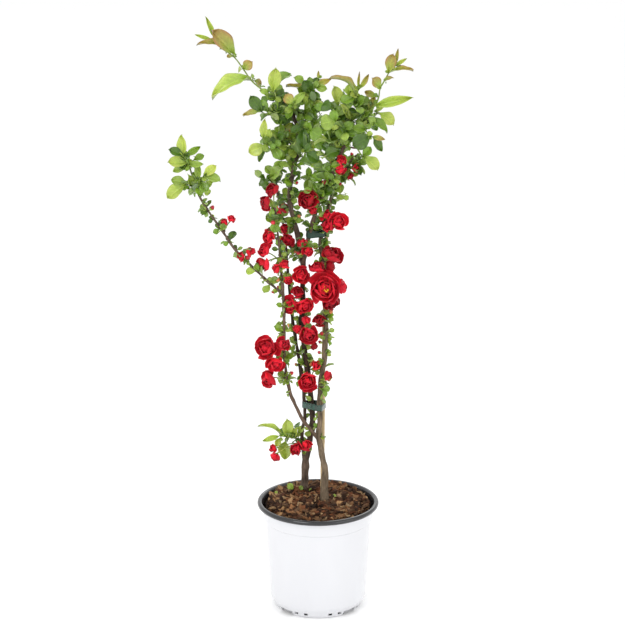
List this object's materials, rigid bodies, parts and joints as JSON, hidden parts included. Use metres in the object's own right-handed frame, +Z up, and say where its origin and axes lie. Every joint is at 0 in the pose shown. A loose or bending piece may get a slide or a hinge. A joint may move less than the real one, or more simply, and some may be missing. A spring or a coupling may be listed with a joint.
{
  "type": "potted flowering quince shrub",
  "caption": "Young staked flowering quince in a nursery pot: bare canes, green leafy shoots and scarlet double blooms.",
  "frame": {"origin": "centre of the pot's underside", "axes": "+Z up along the canes, -Y towards the front, +X to the right seen from the front"},
  "size_m": [0.4179, 0.22, 1.061],
  "materials": {
    "white_plastic": "glossy white moulded plastic with a black rim and inside",
    "bark_mix": "dry red-brown bark potting mix, matte",
    "cane_bark": "grey-brown bark with pale flecks, matte",
    "bamboo": "pale tan bamboo with nodes, satin",
    "green_tape": "soft green tie tape, glossy",
    "leaf_green": "glossy green leaf, bronze on young tips",
    "scarlet_petal": "soft scarlet petal with a fine satin sheen"
  },
  "bodies": {
    "root": {"nursery_pot": "white_plastic", "potting_mix": "bark_mix", "cane_left": "cane_bark", "cane_right": "cane_bark", "bamboo_stake": "bamboo", "tie_lower": "green_tape", "tie_upper": "green_tape", "shoot_top_left": "leaf_green", "shoot_upright_pair": "leaf_green", "shoot_left_top": "leaf_green", "shoot_left_mid": "leaf_green", "shoot_bronze_upright": "leaf_green", "shoot_middle_top": "leaf_green", "shoot_centre": "leaf_green", "shoot_centre_right": "leaf_green", "shoot_light_upright": "leaf_green", "shoot_arched_top": "leaf_green", "shoot_right_top": "leaf_green", "shoot_right_round": "leaf_green", "shoot_right_mid": "leaf_green", "shoot_right_low": "leaf_green", "shoot_centre_low": "leaf_green", "shoot_left_low": "leaf_green", "shoot_branch_tip": "leaf_green", "shoot_branch_left": "leaf_green", "shoot_branch_right": "leaf_green", "shoot_lower_left": "leaf_green", "bloom_big": "scarlet_petal", "bloom_upper_side": "scarlet_petal", "bloom_right_high": "scarlet_petal", "bloom_dark_high": "scarlet_petal", "bloom_left_high": "scarlet_petal", "bloom_left_pair": "scarlet_petal", "bloom_mid_high": "scarlet_petal", "bloom_far_left_a": "scarlet_petal", "bloom_centre_small": "scarlet_petal", "bloom_far_left_b": "scarlet_petal", "bloom_left_mid": "scarlet_petal", "bloom_centre_tall": "scarlet_petal", "bloom_centre_trio": "scarlet_petal", "bloom_lower_centre": "scarlet_petal", "bloom_right_dark": "scarlet_petal", "bloom_left_large": "scarlet_petal", "bloom_left_side": "scarlet_petal", "bloom_low_centre": "scarlet_petal", "bloom_low_right": "scarlet_petal", "bloom_bottom_left": "scarlet_petal", "bloom_bottom_right": "scarlet_petal", "bloom_branch_low": "scarlet_petal", "bloom_branch_high": "scarlet_petal", "bloom_upper_right": "scarlet_petal", "bloom_far_right": "scarlet_petal"}
  },
  "joints": []
}
